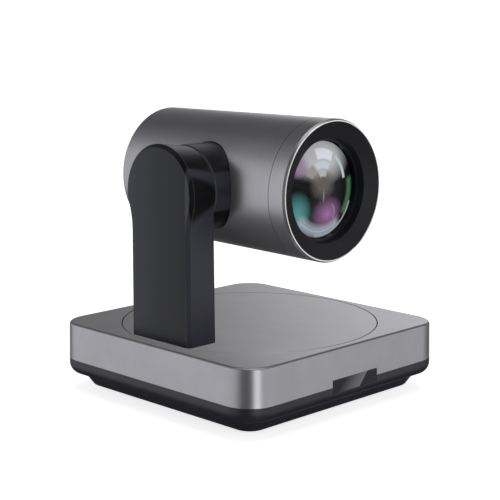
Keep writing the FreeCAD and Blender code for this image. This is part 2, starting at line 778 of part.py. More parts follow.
def make_control_ports(controls, face, middle):
    """Two round control sockets, each a steel ring round a keyed core."""
    back = face - S.control_depth
    bore = S.control_radius - S.control_wall
    core_depth = S.control_depth * 0.6
    sockets = []
    for index, x in enumerate(controls):
        barrel = ring(f"control_ring_{index}", S.control_radius, bore, S.control_depth, (x, back, middle), "Y")
        core = rod(f"control_core_{index}", bore, core_depth, (x, back, middle), "Y")
        key = block(f"control_key_{index}", (bore / 2, core_depth * 0.4, bore / 2),
                    (x, back + core_depth * 1.15, middle - bore * 0.7))
        sockets.append(fuse(f"control_socket_{index}", barrel, core, key))
    keep(group("control", sockets), "control_ports")


# ---------------------------------------------------------------------------- pan stage
def cable_slot(name, level):
    """The slot that lets the flat cable up into the arm."""
    return block(name, (S.cable_slot_length, S.cable_slot_width, 2 * S.disc_thick + S.arm_wall + 2),
                 (-S.arm_inner - S.cable_offset, S.cable_side, level))


def arm_screw_head(name, spot):
    return frustum(name, S.arm_screw_head, S.arm_screw_radius, S.arm_screw_radius, spot)


def make_turntable():
    """The round plate in the base's top. It turns with the arm on it."""
    low = S.base_top - S.disc_thick
    edge = 0.25
    disc = turned("disc_plate", [
        (S.hub_bore, low),
        (S.disc_radius, low),
        (S.disc_radius, S.base_top - edge),
        (S.disc_radius - edge, S.base_top),
        (0.0, S.base_top),
        (0.0, low + 1),
        (S.hub_bore, low + 1),
    ])
    arm_middle = -(S.arm_outer + S.arm_inner) / 2
    tools = []
    for index, side in enumerate((-1, 1)):
        spot = (arm_middle, side * S.arm_screw_spread, low)
        tools.append(arm_screw_head(f"disc_countersink_{index}", spot))
        tools.append(rod(f"disc_hole_{index}", S.arm_screw_radius, 2 * S.disc_thick, spot))
    tools.append(cable_slot("disc_cable_slot", low - 1))
    keep(cut("disc", disc, *tools), "turntable_disc")


def make_pan_hub():
    """The hollow hub under the turntable: a flange, and the journal that the bearing holds."""
    under_disc = S.base_top - S.disc_thick
    hub = turned("hub_turned", [
        (S.hub_bore, S.chassis_height - S.hub_overhang),
        (S.hub_radius, S.chassis_height - S.hub_overhang),
        (S.hub_radius, S.recess_floor + S.hub_flange_lift),
        (S.hub_flange, S.recess_floor + S.hub_flange_lift),
        (S.hub_flange, under_disc),
        (S.hub_bore, under_disc),
    ])
    channel = block("hub_cable_channel", (S.hub_flange + 4, S.cable_width + 2, 1.6),
                    (-S.hub_flange / 2 - 2, 0.0, under_disc - 1.6))
    keep(cut("hub", hub, channel), "pan_hub")


def pulley(name, radius, bore, at, along):
    """A belt pulley with a rim on both sides. It starts at the point at."""
    width = S.belt_width + 2 * S.pulley_rim + S.pulley_play
    rim = radius + S.belt_thick * 0.6
    return turned(name, [
        (bore, 0.0),
        (rim, 0.0),
        (rim, S.pulley_rim),
        (radius, S.pulley_rim),
        (radius, width - S.pulley_rim),
        (rim, width - S.pulley_rim),
        (rim, width),
        (bore, width),
    ], at, along)


def belt(name, big, small, distance, at, turn):
    """A flat toothed belt round two pulleys, a hair clear of both."""
    body = new_body(name)
    sketch = sketch_on(body, "XY_Plane")
    belt_outline(sketch, big + S.belt_gap, small + S.belt_gap, distance)
    belt_outline(sketch, big + S.belt_gap + S.belt_thick, small + S.belt_gap + S.belt_thick, distance)
    pad(body, sketch, S.belt_width)
    return place(body, at, turn)


def make_pan_drive():
    bearing_low = S.chassis_height - 0.5
    bearing = ring("pan_bearing_ring", S.pan_bearing_radius, S.hub_radius + S.running_gap, S.pan_bearing_length,
                   (0.0, 0.0, bearing_low))
    keep(bearing, "pan_bearing")
    drive = S.chassis_height + S.pan_drive_rise
    keep(pulley("pan_wheel", S.pan_pulley_radius, S.hub_radius, (0.0, 0.0, drive), "Z"), "pan_pulley")
    motor_at = (S.pan_motor_x, S.pan_motor_y)
    pinion = pulley("pan_pinion", S.pan_pinion_radius, S.motor_shaft, (*motor_at, drive), "Z")
    shaft = rod("pan_motor_shaft", S.motor_shaft, S.pan_shaft_length, (*motor_at, S.chassis_height + 2.6))
    keep(fuse("pan_pinion_on_shaft", pinion, shaft), "pan_motor_pulley")
    can = rod("pan_motor_can", S.motor_radius, S.motor_length, (*motor_at, S.chassis_height - S.motor_length))
    boss = rod("pan_motor_boss", S.motor_boss_radius, S.chassis_thick + 1, (*motor_at, S.chassis_height - 0.5))
    keep(fuse("pan_motor_body", can, boss), "pan_motor")
    reach = math.hypot(*motor_at)
    turn = Rotation(Vector(0, 0, 1), math.degrees(math.atan2(motor_at[1], motor_at[0])))
    distance = Size(reach, "sqrt(sizes.pan_motor_x ^ 2 + sizes.pan_motor_y ^ 2)")
    loop = belt("pan_belt_loop", S.pan_pulley_radius, S.pan_pinion_radius, distance,
                (0.0, 0.0, drive + S.pulley_rim + S.pulley_play / 2), turn)
    keep(loop, "pan_belt")


def make_pan_sensor():
    """The slotted light gate beside the pan pulley, which finds the pan's home position."""
    reach = S.pan_pulley_radius + S.gate_reach
    level = S.chassis_height + S.chassis_thick
    gate = block("gate_block", (S.gate_width, S.gate_width, S.gate_height), (-reach, 0.0, level))
    gap = block("gate_gap", (S.gate_width, S.gate_width + 2, S.gate_gap), (-reach + 2, 0.0, level + S.gate_gap_rise))
    keep(cut("gate", gate, gap), "pan_home_sensor")


# ---------------------------------------------------------------------------- arm
def outer_keyhole(sketch, shrink=0.0):
    keyhole(sketch, S.arm_foot_half - shrink, S.arm_waist_half - shrink, S.arm_head_radius - shrink,
            S.arm_blend + shrink, S.base_top + shrink, S.tilt_height - S.arm_head_drop)


def inner_keyhole(sketch, shrink=0.0, foot_shrink=0.0):
    keyhole(sketch, S.arm_foot_half - shrink, S.arm_waist_half_inner - shrink, S.arm_head_radius_inner - shrink,
            S.arm_blend + shrink, S.base_top + foot_shrink, S.tilt_height - S.arm_head_drop)


def arm_prism(name, outer, inner, shrink=0.0):
    """The arm's keyhole form between two X positions, tapering towards the barrel."""
    body = new_body(name)
    near = sketch_on(body, "YZ_Plane", -outer)
    far = sketch_on(body, "YZ_Plane", -inner)
    outer_keyhole(near, shrink)
    inner_keyhole(far, shrink, shrink)
    loft(body, near, far)
    return body


def make_arm():
    """The arm's hollow casing, open on its outer side, and the bevelled cover that closes it."""
    split = S.arm_outer - S.arm_cover
    bevel_start = S.arm_inner + S.arm_inner_bevel
    casing = arm_prism("casing_blank", split, bevel_start)
    bevel = new_body("casing_bevel")
    full = sketch_on(bevel, "YZ_Plane", -bevel_start)
    inner_keyhole(full)
    small = sketch_on(bevel, "YZ_Plane", -S.arm_inner)
    inner_keyhole(small, S.arm_inner_bevel)
    loft(bevel, full, small)
    casing = fuse("casing_outside", casing, bevel)
    hollow = arm_prism("casing_hollow", split + 1, S.arm_inner + S.arm_wall, S.arm_wall)
    bearing_radius = S.shaft_radius + S.tilt_bearing_wall
    seat = rod("tilt_bearing_hole", bearing_radius, 6.0, (-S.arm_inner - 5, 0.0, S.tilt_height), "X")
    middle = -(S.arm_outer + S.arm_inner) / 2
    holes = [rod(f"arm_foot_hole_{index}", S.arm_screw_core, 12.0,
                 (middle, side * S.arm_screw_spread, S.base_top - 1)) for index, side in enumerate((-1, 1))]
    slot = cable_slot("arm_cable_slot", S.base_top - 1)
    keep(cut("casing", casing, hollow, seat, slot, *holes), "arm_casing")

    cover = new_body("cover_blank")
    face = sketch_on(cover, "YZ_Plane", -S.arm_outer)
    outer_keyhole(face)
    pad(cover, face, S.arm_cover - S.arm_line)
    outer_edge = lies_at("X", -S.arm_outer)
    above_foot = float(S.base_top) + 1
    dress(cover, "Chamfer", S.arm_bevel, lambda edge: outer_edge(edge) and edge.BoundBox.ZMax > above_foot)
    lip = new_body("cover_lip")
    inset = S.arm_line + 0.1
    edge = sketch_on(lip, "YZ_Plane", -S.arm_outer + S.arm_cover - S.arm_line - 0.2)
    outer_keyhole(edge, inset)
    pad(lip, edge, S.arm_line + 0.2)
    keep(fuse("cover", cover, lip), "arm_cover")


def make_arm_inside():
    """The arm's steel plate with the tilt bearings, the motor and the belt."""
    plate_x = -S.arm_inner - S.arm_plate_offset
    bearing_radius = S.shaft_radius + S.tilt_bearing_wall
    axis = (0.0, S.tilt_height)
    body = new_body("arm_plate")
    outline = sketch_on(body, "YZ_Plane", plate_x)
    rounded_rectangle(outline, S.arm_plate_width, S.arm_plate_height, S.arm_plate_corner,
                      (0.0, S.tilt_height - S.arm_plate_height / 2 + S.arm_plate_rise))
    pad(body, outline, S.arm_plate_thick)
    bearing_hole = rod("arm_plate_bearing_hole", bearing_radius, 10.0, (plate_x - 3, *axis), "X")
    motor_hole = rod("arm_plate_motor_hole", S.tilt_motor_radius, 10.0, (plate_x - 3, 0.0, S.tilt_motor_height), "X")
    cable_way = block("arm_plate_cable_way", (6.0, 6.0, S.tilt_height), (plate_x, S.cable_side + 1, S.base_top))
    keep(cut("arm_plate_cut", body, bearing_hole, motor_hole, cable_way), "arm_chassis")

    inner = S.shaft_radius + S.running_gap
    bearings = [
        ring("tilt_bearing_a", bearing_radius, inner, 3.6, (-S.arm_inner - 3.8, *axis), "X"),
        ring("tilt_bearing_b", bearing_radius, inner, 3.0, (plate_x - 0.6, *axis), "X"),
    ]
    keep(group("tilt_bearing_pair", bearings), "tilt_bearings")

    can = rod("tilt_motor_can", S.tilt_motor_radius, S.tilt_motor_length, (plate_x, 0.0, S.tilt_motor_height), "X")
    flange = rod("tilt_motor_flange", S.tilt_motor_radius + 2, 0.8, (plate_x - 0.8, 0.0, S.tilt_motor_height), "X")
    keep(fuse("tilt_motor_body", can, flange), "tilt_motor")

    drive_x = plate_x - S.arm_drive_offset
    wheel = pulley("tilt_wheel", S.tilt_pulley_radius, S.shaft_radius, (drive_x, *axis), "X")
    keep(wheel, "tilt_pulley")
    pinion = pulley("tilt_pinion", S.tilt_pinion_radius, S.small_shaft, (drive_x, 0.0, S.tilt_motor_height), "X")
    shaft = rod("tilt_motor_shaft", S.small_shaft, 5.2, (drive_x + 0.2, 0.0, S.tilt_motor_height), "X")
    keep(fuse("tilt_pinion_on_shaft", pinion, shaft), "tilt_motor_pulley")
    loop = belt("tilt_belt_loop", S.tilt_pulley_radius, S.tilt_pinion_radius, S.tilt_height - S.tilt_motor_height,
                (drive_x + S.pulley_rim + S.pulley_play / 2, *axis), Rotation(Vector(0, 1, 0), 90))
    keep(loop, "tilt_belt")


def make_arm_screws():
    """Countersunk screws that hold the arm on the turntable from below."""
    low = S.base_top - S.disc_thick
    middle = -(S.arm_outer + S.arm_inner) / 2
    screws = []
    for index, side in enumerate((-1, 1)):
        spot = (middle, side * S.arm_screw_spread, low)
        head = arm_screw_head(f"arm_screw_head_{index}", spot)
        shank = rod(f"arm_screw_shank_{index}", S.arm_screw_core, 2 * S.disc_thick, spot)
        screws.append(fuse(f"arm_screw_{index}", head, shank))
    keep(group("arm_screw_pair", screws), "arm_screws")


def make_head_cable():
    """The flat cable from the hub, under the turntable and up the arm."""
    wide, thick, side = S.cable_width, S.cable_thick, S.cable_side
    run_x = -S.arm_inner - S.cable_offset
    under = S.base_top - S.disc_thick - thick * 1.5
    rise = block("cable_rise", (wide, thick, S.tilt_height / 2), (run_x, side, under))
    across = block("cable_across", (wide, side + thick, thick), (run_x, side / 2, under))
    inward = block("cable_inward", (-run_x - S.hub_bore, wide, thick), ((run_x - S.hub_bore) / 2, 0.0, under))
    keep(fuse("cable", rise, across, inward), "head_cable")


# ---------------------------------------------------------------------------- tilting barrel
def barrel_radius_at(y):
    return S.barrel_radius - S.barrel_taper * y


def barrel_turned(name, profile):
    """A piece turned about the barrel's axis. Its profile gives Y along the axis."""
    return turned(name, profile, (0.0, 0.0, S.tilt_height), "Y")


def make_barrel():
    """The tapered shell with its neck hole, and the cap that closes the back."""
    start = -S.barrel_seam + S.barrel_seam_gap / 2
    inside = S.barrel_radius - S.barrel_wall
    shell = new_body("barrel_blank")
    sketch = sketch_on(shell, "XZ_Plane")
    polygon(sketch, [
        (inside, start),
        (barrel_radius_at(start), start),
        (barrel_radius_at(S.barrel_rear), S.barrel_rear),
        (inside - 1, S.barrel_rear),
        (inside - 1, S.barrel_rear - 6),
        (inside, S.barrel_rear - 6),
    ])
    feature = shell.newObject("PartDesign::Revolution", "barrel_turned")
    feature.Profile = sketch
    feature.ReferenceAxis = (sketch, ["V_Axis"])
    feature.Angle = FULL_TURN
    doc.recompute()
    outer_rim = float(barrel_radius_at(S.barrel_rear)) - 0.1
    at_rear = lies_at("Z", S.barrel_rear)
    dress(shell, "Fillet", S.barrel_rear_round,
          lambda edge: at_rear(edge) and edge.BoundBox.XMax > outer_rim)
    place(shell, (0.0, 0.0, S.tilt_height), ALONG["Y"])
    hole = rod("neck_hole", S.neck_radius + S.neck_gap, S.barrel_radius,
               (-S.barrel_radius - 5, 0.0, S.tilt_height), "X")
    keep(cut("barrel_cut", shell, hole), "barrel_shell")

    cap_radius = inside - S.cap_play
    cap_face = S.barrel_rear - S.cap_sunk
    cap = barrel_turned("cap_turned", [
        (0.0, cap_face - S.cap_thick),
        (cap_radius, cap_face - S.cap_thick),
        (cap_radius, cap_face - 0.5),
        (cap_radius - 0.5, cap_face),
        (0.0, cap_face),
    ])
    sinks, screws = [], []
    for index, (x, z) in enumerate(FOUR_CORNERS):
        spot = (x * S.cap_screw_spread, S.barrel_rear - 6, S.tilt_height + z * S.cap_screw_spread)
        head_at = (spot[0], cap_face - 1.2, spot[2])
        socket_at = (spot[0], cap_face - 0.7, spot[2])
        sinks.append(rod(f"cap_hole_{index}", S.cap_screw_radius, 8.0, spot, "Y"))
        sinks.append(rod(f"cap_counterbore_{index}", S.cap_screw_head + S.screw_play, 4.0, head_at, "Y"))
        shank = rod(f"cap_screw_shank_{index}", S.cap_screw_radius, 5.0, spot, "Y")
        head = rod(f"cap_screw_head_{index}", S.cap_screw_head, 1.0, head_at, "Y")
        socket = rod(f"cap_screw_socket_{index}", S.cap_screw_socket, 1.0, socket_at, "Y")
        screws.append(cut(f"cap_screw_{index}", fuse(f"cap_screw_blank_{index}", shank, head), socket))
    keep(cut("cap_cut", cap, *sinks), "rear_cap")
    keep(group("cap_screw_set", screws), "rear_cap_screws")


def make_barrel_front():
    """The front ring, its polished lip and the black conical bezel."""
    lip_seat = -S.barrel_front + 0.25
    ring_back = -S.barrel_seam - S.barrel_seam_gap / 2
    shoulder = -S.barrel_seam - 3.3
    spigot = S.barrel_radius - S.barrel_wall - 0.1
    keep(barrel_turned("front_ring_turned", [
        (S.lip_radius, lip_seat),
        (S.lip_radius, -S.lip_front + 0.2),
        (barrel_radius_at(-S.barrel_front), -S.barrel_front),
        (barrel_radius_at(ring_back), ring_back),
        (spigot, ring_back),
        (spigot, ring_back + 5),
        (spigot - 2.5, ring_back + 5),
        (spigot - 2.5, shoulder),
        (S.bezel_radius, shoulder),
        (S.bezel_radius, lip_seat),
    ]), "front_ring")
    keep(barrel_turned("front_lip_turned", [
        (S.bezel_radius, lip_seat),
        (S.lip_radius, lip_seat),
        (S.lip_radius, -S.lip_front + 0.15),
        (S.lip_radius - 0.15, -S.lip_front),
        (S.bezel_radius + 0.15, -S.lip_front),
        (S.bezel_radius, -S.lip_front + 0.15),
    ]), "front_lip")
    front = -S.lip_front + 0.3
    throat = -S.lip_front + S.bezel_depth
    seat = shoulder - 0.8
    keep(barrel_turned("bezel_turned", [
        (S.bezel_radius, front),
        (S.bezel_radius, shoulder),
        (S.glass_radius + 0.1, shoulder),
        (S.glass_radius + 0.1, seat),
        (S.bezel_throat - 0.5, seat),
        (S.bezel_throat, throat),
        (S.bezel_radius - 0.4, front),
    ]), "lens_bezel")


def dome_lens(name, radius, rim, rise, thick, back_rise):
    """A lens about the barrel's axis: its front bulges by rise from the rim, its back by back_rise."""
    body = new_body(name)
    sketch = sketch_on(body, "XZ_Plane")
    front_y, back_y = rim, rim + thick

    def bulge(level, height):
        edge = Vector(float(radius), float(level), 0)
        top = Vector(0, float(level) - float(height), 0)
        side = Vector(-float(radius), float(level), 0)
        circle = Part.Arc(edge, top, side).toShape().Curve
        return arc_between(circle.Center, circle.Radius, top, edge), circle.Center

    front, front_centre = bulge(front_y, rise)
    back, back_centre = bulge(back_y, back_rise)
    front_top, back_top = Vector(0, float(front_y - rise), 0), Vector(0, float(back_y - back_rise), 0)
    sketch.addGeometry([front, Part.LineSegment(front.EndPoint, back.EndPoint), back,
                        Part.LineSegment(back_top, front_top)], False)
    sketch.addConstraint(Sketcher.Constraint("Coincident", 0, 2, 1, 1))
    sketch.addConstraint(Sketcher.Constraint("Coincident", 1, 2, 2, 2))
    sketch.addConstraint(Sketcher.Constraint("Coincident", 2, 1, 3, 1))
    sketch.addConstraint(Sketcher.Constraint("Coincident", 3, 2, 0, 1))
    fix_point(sketch, 1, 1, (radius, front_y))
    fix_point(sketch, 1, 2, (radius, back_y))
    fix_point(sketch, 3, 1, (0.0, back_y - back_rise))
    fix_point(sketch, 3, 2, (0.0, front_y - rise))
    for arc in (0, 2):
        sketch.addConstraint(Sketcher.Constraint("PointOnObject", arc, 3, -2))
    feature = body.newObject("PartDesign::Revolution", name + "_turned")
    feature.Profile = sketch
    feature.ReferenceAxis = (sketch, ["V_Axis"])
    feature.Angle = FULL_TURN
    doc.recompute()
    return place(body, (0.0, 0.0, S.tilt_height), ALONG["Y"])


def make_lens_block():
    """The zoom lens: front glass, retaining ring, housing, fixed group, rods and sensor."""
    keep(dome_lens("front_glass", S.glass_radius, -S.glass_rim, S.glass_rise, S.glass_thick, S.glass_rise * 0.8),
         "front_lens")
    housing_front = -S.barrel_seam - 3.3
    keep(barrel_turned("retainer_turned", [
        (S.glass_radius - 1.2, -S.glass_rim + 2.7),
        (S.glass_radius, -S.glass_rim + 2.7),
        (S.glass_radius, -S.glass_rim + 4.2),
        (S.glass_radius - 1.2, -S.glass_rim + 4.2),
    ]), "lens_retainer")
    bore = S.housing_radius - S.housing_wall
    tube = barrel_turned("housing_turned", [
        (bore, housing_front + 0.1),
        (S.housing_radius, housing_front + 0.1),
        (S.housing_radius, S.housing_rear),
        (12.0, S.housing_rear),
        (12.0, S.housing_rear - 2),
        (bore, S.housing_rear - 2),
    ])
    keep(tube, "lens_housing")
    keep(barrel_turned("fixed_ring", [
        (S.second_radius, -S.second_rim - 1),
        (bore, -S.second_rim - 1),
        (bore, -S.second_rim + 3),
        (S.second_radius, -S.second_rim + 3),
    ]), "group_ring")
    keep(dome_lens("second_glass", S.second_radius, -S.second_rim, S.second_rise, S.second_thick, S.second_rise / 2),
         "second_lens")
    rods = [rod(f"guide_rod_{index}", S.rod_radius, 66.0, (side * S.rod_offset, -33.5, S.tilt_height), "Y")
            for index, side in enumerate((-1, 1))]
    keep(group("rod_pair", rods), "guide_rods")
    board_y = S.housing_rear + 3
    board = block("sensor_board_blank", (S.sensor_board, S.board_thick, S.sensor_board),
                  (0.0, board_y + S.board_thick / 2, S.tilt_height - S.sensor_board / 2))
    keep(board, "sensor_board")
    sensor = block("sensor_blank", (S.sensor_width, S.sensor_thick, S.sensor_height),
                   (0.0, board_y - S.sensor_thick / 2, S.tilt_height - S.sensor_height / 2))
    keep(sensor, "image_sensor")


def carriage(name, start, drive_side):
    """A lens carriage on the two guide rods, with a nut for its lead screw."""
    axis = (0.0, start, S.tilt_height)
    frame = ring(name + "_ring", S.carriage_radius, S.moving_lens_radius, S.carriage_length, axis, "Y")
    ears = [block(f"{name}_ear_{index}", (5.0, S.carriage_length, 5.0),
                  (side * (S.rod_offset - 0.5), start + S.carriage_length / 2, S.tilt_height - 2.5))
            for index, side in enumerate((-1, 1))]
    nut = block(name + "_nut", (5.0, 3.0, 5.0),
                (0.0, start + S.carriage_length / 2, S.tilt_height + drive_side * (S.drive_offset - 1.2) - 2.5))
    bores = [rod(f"{name}_bore_{index}", S.rod_radius + S.running_gap, 20.0,
                 (side * S.rod_offset, start - 5, S.tilt_height), "Y") for index, side in enumerate((-1, 1))]
    bores.append(rod(name + "_nut_bore", S.drive_screw_radius + 0.1, 20.0,
                     (0.0, start - 5, S.tilt_height + drive_side * S.drive_offset), "Y"))
    return cut(name + "_cut", fuse(name + "_blank", frame, *ears, nut), *bores)


def drive(name, start, length, side):
    """A small motor on the housing's inside, and its lead screw."""
    level = S.tilt_height + side * S.drive_offset
    motor = block(name + "_motor_can", (8.0, 6.0, 5.0), (0.0, start - 3.2, level - 2.5))
    screw = rod(name + "_screw_rod", S.drive_screw_radius, length, (0.0, start, level), "Y")
    return motor, screw


def make_zoom_and_focus():
    """Two carriages that slide along the rods, each driven by its own lead screw."""
    for name, start, side in (("zoom", S.zoom_start, 1), ("focus", S.focus_start, -1)):
        keep(carriage(name + "_carriage_piece", start, side), name + "_carriage")
        middle = start + S.carriage_length / 2
        keep(dome_lens(name + "_glass", S.moving_lens_radius, middle, S.moving_lens_rise, S.moving_lens_thick,
                       S.moving_lens_rise / 3), name + "_lens")
    zoom_motor, zoom_screw = drive("zoom_drive", S.zoom_start - 4.5, 36.0, 1)
    focus_motor, focus_screw = drive("focus_drive", S.focus_start - 2.5, 23.0, -1)
    keep(zoom_motor, "zoom_motor")
    keep(zoom_screw, "zoom_screw")
    keep(focus_motor, "focus_motor")
    keep(focus_screw, "focus_screw")


def make_neck():
    """The dark neck between arm and barrel, the tilt shaft in it and the frame that holds the lens."""
    axis = (0.0, S.tilt_height)
    length = S.neck_start - S.neck_end
    collar = ring("neck_tube", S.neck_radius, S.neck_radius - S.neck_wall, length, (-S.neck_start, *axis), "X")
    web_radius = S.neck_radius - S.neck_wall + 0.5
    web = ring("neck_web", web_radius, S.shaft_radius, 2.5, (-S.neck_start + 0.5, *axis), "X")
    keep(fuse("neck", collar, web), "neck_collar")
    shaft_at = (-S.arm_inner - S.shaft_reach, *axis)
    keep(ring("shaft_tube", S.shaft_radius, S.shaft_bore, S.shaft_length, shaft_at, "X"), "tilt_shaft")
    outer = S.barrel_radius - S.barrel_wall
    band = turned("frame_band", [
        (S.housing_radius, -S.frame_half),
        (outer, -S.frame_half),
        (outer, S.frame_half),
        (S.housing_radius, S.frame_half),
    ], (0.0, *axis), "Y")
    clear = rod("frame_neck_clear", S.neck_radius + S.neck_gap, 20.0, (-S.neck_end - 19.9, *axis), "X")
    keep(cut("frame_cut", band, clear), "head_frame")


def check_and_write():
    """Stop on any failed object or shape, then write every sub-part."""
    doc.recompute()
    failed = [item.Name for item in doc.Objects if "Invalid" in item.State or "Error" in item.State]
    if failed:
        raise RuntimeError("failed objects: " + ", ".join(failed))
    for item in subparts:
        if item.Shape.isNull() or not item.Shape.isValid() or not item.Shape.Solids:
            raise RuntimeError("bad shape: " + item.Label)
    os.makedirs("parts", exist_ok=True)
    for item in subparts:
        item.Shape.exportStep(f"parts/{item.Label}.step")
    print(len(subparts), "sub-parts written")


for make in (
    make_base_tray,
    make_base_shell,
    make_front_window,
    make_feet_and_insert,
    make_base_screws,
    make_chassis,
    make_main_board,
    make_rear_panel,
    make_turntable,
    make_pan_hub,
    make_pan_drive,
    make_pan_sensor,
    make_arm,
    make_arm_inside,
    make_arm_screws,
    make_head_cable,
    make_barrel,
    make_barrel_front,
    make_lens_block,
    make_zoom_and_focus,
    make_neck,
):
    make()
check_and_write()
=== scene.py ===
"""Looks for the PTZ camera: studio, materials and the pieces that the CAD model leaves plain."""
import bpy
import bmesh
import json
import math
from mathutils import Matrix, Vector


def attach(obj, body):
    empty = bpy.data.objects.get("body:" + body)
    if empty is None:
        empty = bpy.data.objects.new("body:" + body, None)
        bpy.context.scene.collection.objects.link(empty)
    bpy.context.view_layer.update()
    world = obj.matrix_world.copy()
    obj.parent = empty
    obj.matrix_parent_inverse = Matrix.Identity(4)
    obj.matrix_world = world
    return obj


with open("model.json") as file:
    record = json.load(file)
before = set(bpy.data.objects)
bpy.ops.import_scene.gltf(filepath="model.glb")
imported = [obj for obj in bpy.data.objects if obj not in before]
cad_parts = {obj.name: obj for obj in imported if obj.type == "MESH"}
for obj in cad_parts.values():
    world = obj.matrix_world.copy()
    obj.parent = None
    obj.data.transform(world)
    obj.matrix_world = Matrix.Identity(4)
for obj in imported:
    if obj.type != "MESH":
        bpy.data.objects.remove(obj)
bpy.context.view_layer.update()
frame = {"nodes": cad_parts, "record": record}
NODES = frame["nodes"]

# The camera: where it stands and looks, in metres, and its focal length for a 36 mm sensor.
CAMERA_AT = Vector((-0.5162, -0.5158, 0.2154))
CAMERA_AIM = Vector((0.00014, -0.00014, 0.07727))
FOCAL_LENGTH = 98.0
SENSOR = 36.0

# The studio. Levels are shares of the surroundings' full strength, by heading (from +X towards +Y)
# and by height above the horizon, both in degrees.
SURROUNDINGS = 3.2
FLOOR_GLOW = 0.75
FLOOR_HALF_SIZE = 60.0
AROUND = [
    (-180, 0.28),
    (-165, 0.03),
    (-124, 0.02),
    (-115, 0.95),
    (-102, 0.95),
    (-93, 0.24),
    (-82, 0.31),
    (-35, 0.33),
    (-20, 0.05),
    (14, 0.05),
    (28, 0.42),
    (40, 0.40),
    (50, 0.09),
    (90, 0.06),
    (118, 0.37),
    (155, 0.37),
    (180, 0.28),
]
UPWARD = [
    (-90, 0.06),
    (-34, 0.08),
    (-20, 1.0),
    (22, 1.0),
    (36, 0.3),
    (60, 0.35),
    (90, 0.6),
]

# The lens, in metres: the axis, the glass's rim, and the shallow dome behind the glass that carries painted
# reflections.
LENS_AXIS_Z = 0.11585
LENS_DOME_RIM_Y = -0.0509
LENS_DOME_RADIUS = 0.0250
LENS_DOME_RISE = 0.0040

# The arm's paint, with painted light and shade: its grey level across the arm, paler where the studio's light
# falls on it, from the front edge (-Y) to the back, in metres.
ARM_HALF_WIDTH = 0.0255
ARM_TINT = (0.94, 0.96, 1.25)
ARM_PAINTED_SHADES = [
    (-0.0232, 0.002),
    (-0.0224, 0.026),
    (-0.0208, 0.026),
    (-0.0200, 0.001),
    (0.0, 0.006),
    (0.0225, 0.021),
]

# The window in the base's front, in metres: where its painted glare ends at the window's middle height, how
# far the painted glare fades, how soft its end is, and how far the end leans sideways for each unit of
# height.
WINDOW_GLARE_X = 0.0085
WINDOW_MIDDLE_Z = 0.01825
WINDOW_GLARE_WIDTH = 0.017
WINDOW_GLARE_SOFTNESS = 0.0004
WINDOW_LEAN = 0.9

# Fine grain in paint, plastic and metal: its usual scale, and its height in metres.
GRAIN_SCALE = 4000
GRAIN_HEIGHT = 0.00002


# ------------------------------------------------------------------ camera
def make_camera():
    data = bpy.data.cameras.new("camera")
    data.lens = FOCAL_LENGTH
    data.sensor_width = SENSOR
    data.clip_start = 0.01
    data.clip_end = 300
    camera = bpy.data.objects.new("camera", data)
    camera.location = CAMERA_AT
    camera.rotation_euler = (CAMERA_AIM - CAMERA_AT).to_track_quat("-Z", "Y").to_euler()
    bpy.context.scene.collection.objects.link(camera)
    bpy.context.scene.camera = camera


# ------------------------------------------------------------------ node helpers
def new_material(name):
    """A new material, with its node tree and its shader."""
    material = bpy.data.materials.new(name)
    material.use_nodes = True
    tree = material.node_tree
    shader = next(node for node in tree.nodes if node.type == "BSDF_PRINCIPLED")
    return material, tree, shader


def add(tree, kind, **settings):
    """A new node. Each setting is a socket's value, or else a property of the node."""
    node = tree.nodes.new(kind)
    for key, value in settings.items():
        if key in node.inputs:
            node.inputs[key].default_value = value
        else:
            setattr(node, key, value)
    return node


def join(tree, start, end):
    tree.links.new(start, end)


def noise(tree, scale, detail=2.0):
    """Noise over the object's own coordinates, in which one unit is a metre."""
    place = add(tree, "ShaderNodeTexCoord")
    texture = add(tree, "ShaderNodeTexNoise", Scale=scale, Detail=detail)
    join(tree, place.outputs["Object"], texture.inputs["Vector"])
    return texture.outputs["Fac"]


def coordinates(tree, source="Object"):
    """The X, Y and Z of a texture coordinate, each on its own socket."""
    place = add(tree, "ShaderNodeTexCoord")
    split = add(tree, "ShaderNodeSeparateXYZ")
    join(tree, place.outputs[source], split.inputs[0])
    return split.outputs


def ranged(tree, source, low, high, start=0.3, end=0.7):
    """Carry a value from the range start to end over to low to high. Noise mostly fills 0.3 to 0.7."""
    node = add(tree, "ShaderNodeMapRange")
    for key, value in (("From Min", start), ("From Max", end), ("To Min", low), ("To Max", high)):
        node.inputs[key].default_value = value
    join(tree, source, node.inputs["Value"])
    return node.outputs["Result"]


def tinted(tree, source, dark, light, start=0.3, end=0.7):
    """A colour that runs from dark to light as a value goes from start to end."""
    ramp = add(tree, "ShaderNodeValToRGB")
    ramp.color_ramp.elements[0].position = start
    ramp.color_ramp.elements[0].color = (*dark, 1)
    ramp.color_ramp.elements[1].position = end
    ramp.color_ramp.elements[1].color = (*light, 1)
    join(tree, source, ramp.inputs["Fac"])
    return ramp.outputs["Color"]


def bump(tree, shader, source, strength):
    node = add(tree, "ShaderNodeBump", Strength=strength, Distance=GRAIN_HEIGHT)
    join(tree, source, node.inputs["Height"])
    join(tree, node.outputs["Normal"], shader.inputs["Normal"])


def grey_ramp(tree, value, stops):
    """A grey level that follows (position, level) stops."""
    ramp = add(tree, "ShaderNodeValToRGB")
    ramp.color_ramp.interpolation = "LINEAR"
    while len(ramp.color_ramp.elements) < len(stops):
        ramp.color_ramp.elements.new(0.5)
    for element, (position, level) in zip(ramp.color_ramp.elements, stops):
        element.position = position
        element.color = (level, level, level, 1)
    join(tree, value, ramp.inputs["Fac"])
    return ramp.outputs["Color"]


def between(tree, value, low, high, soft):
    """One where the value lies between low and high, fading to nothing over soft."""
    rise = ranged(tree, value, 0.0, 1.0, low - soft, low + soft)
    fall = ranged(tree, value, 1.0, 0.0, high - soft, high + soft)
    return times(tree, rise, fall)


def times(tree, one, other):
    node = add(tree, "ShaderNodeMath", operation="MULTIPLY")
    join(tree, one, node.inputs[0])
    join(tree, other, node.inputs[1])
    return node.outputs[0]


